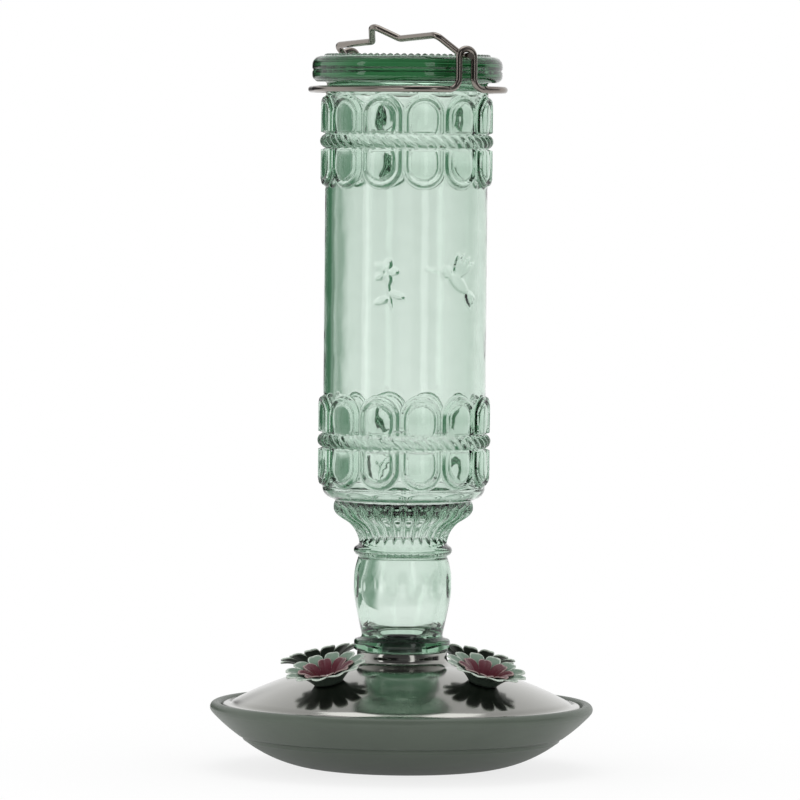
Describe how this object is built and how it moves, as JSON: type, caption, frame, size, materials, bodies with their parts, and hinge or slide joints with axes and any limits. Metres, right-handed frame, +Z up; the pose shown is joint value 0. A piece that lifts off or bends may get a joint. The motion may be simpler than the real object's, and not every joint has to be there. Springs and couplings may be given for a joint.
{
  "type": "hummingbird feeder",
  "caption": "Pressed glass nectar bottle hung neck down over a round covered tray with petal-shaped feeding cups, with a wire collar and a wire bail to hang it by.",
  "frame": {"origin": "centre of the tray's foot, on the surface it stands on", "axes": "+Z up along the bottle's axis; -Y is the side that the picture shows; +X to its right"},
  "size_m": [0.133, 0.133, 0.2579],
  "materials": {
    "tray_enamel": "satin grey-green baked enamel on sheet steel",
    "cover_plate": "polished dark nickel plate",
    "black_plastic": "moulded black plastic",
    "seal_rubber": "soft dark rubber",
    "green_glass": "pale green pressed glass",
    "wire": "drawn steel wire with an antique nickel plate",
    "sage_enamel": "sage green enamel, darker outside",
    "burgundy_enamel": "burgundy enamel with pale edges",
    "eyelet_plate": "bright plated eyelet"
  },
  "bodies": {
    "base": {"tray": "tray_enamel", "cover": "cover_plate", "socket": "black_plastic", "outer_petals_1": "sage_enamel", "outer_petals_2": "sage_enamel", "outer_petals_3": "sage_enamel", "outer_petals_4": "sage_enamel", "inner_petals_1": "burgundy_enamel", "inner_petals_2": "burgundy_enamel", "inner_petals_3": "burgundy_enamel", "inner_petals_4": "burgundy_enamel", "feed_eyelet_1": "eyelet_plate", "feed_eyelet_2": "eyelet_plate", "feed_eyelet_3": "eyelet_plate", "feed_eyelet_4": "eyelet_plate"},
    "seal": {"seal_ring": "seal_rubber"},
    "bottle": {"bottle": "green_glass", "wire_collar": "wire"},
    "bail": {"bail": "wire"}
  },
  "joints": [
    {"name": "bottle_rise", "type": "slide", "parent": "base", "child": "seal", "axis": [0, 0, 1], "range_m": [0, 0.006]},
    {"name": "bottle_turn", "type": "hinge", "parent": "seal", "child": "bottle", "pos_m": [0, 0, 0.041], "axis": [0, 0, 1], "range_deg": [0, 540]},
    {"name": "bail_swing", "type": "hinge", "parent": "bottle", "child": "bail", "pos_m": [0, 0, 0.24503], "axis": [-0.544, 0.8377, -0.0474], "range_deg": [0, 99]}
  ],
  "couplings": [
    {"joint": "bottle_rise", "follows": "bottle_turn", "m_per_rad": 0.00063661}
  ]
}
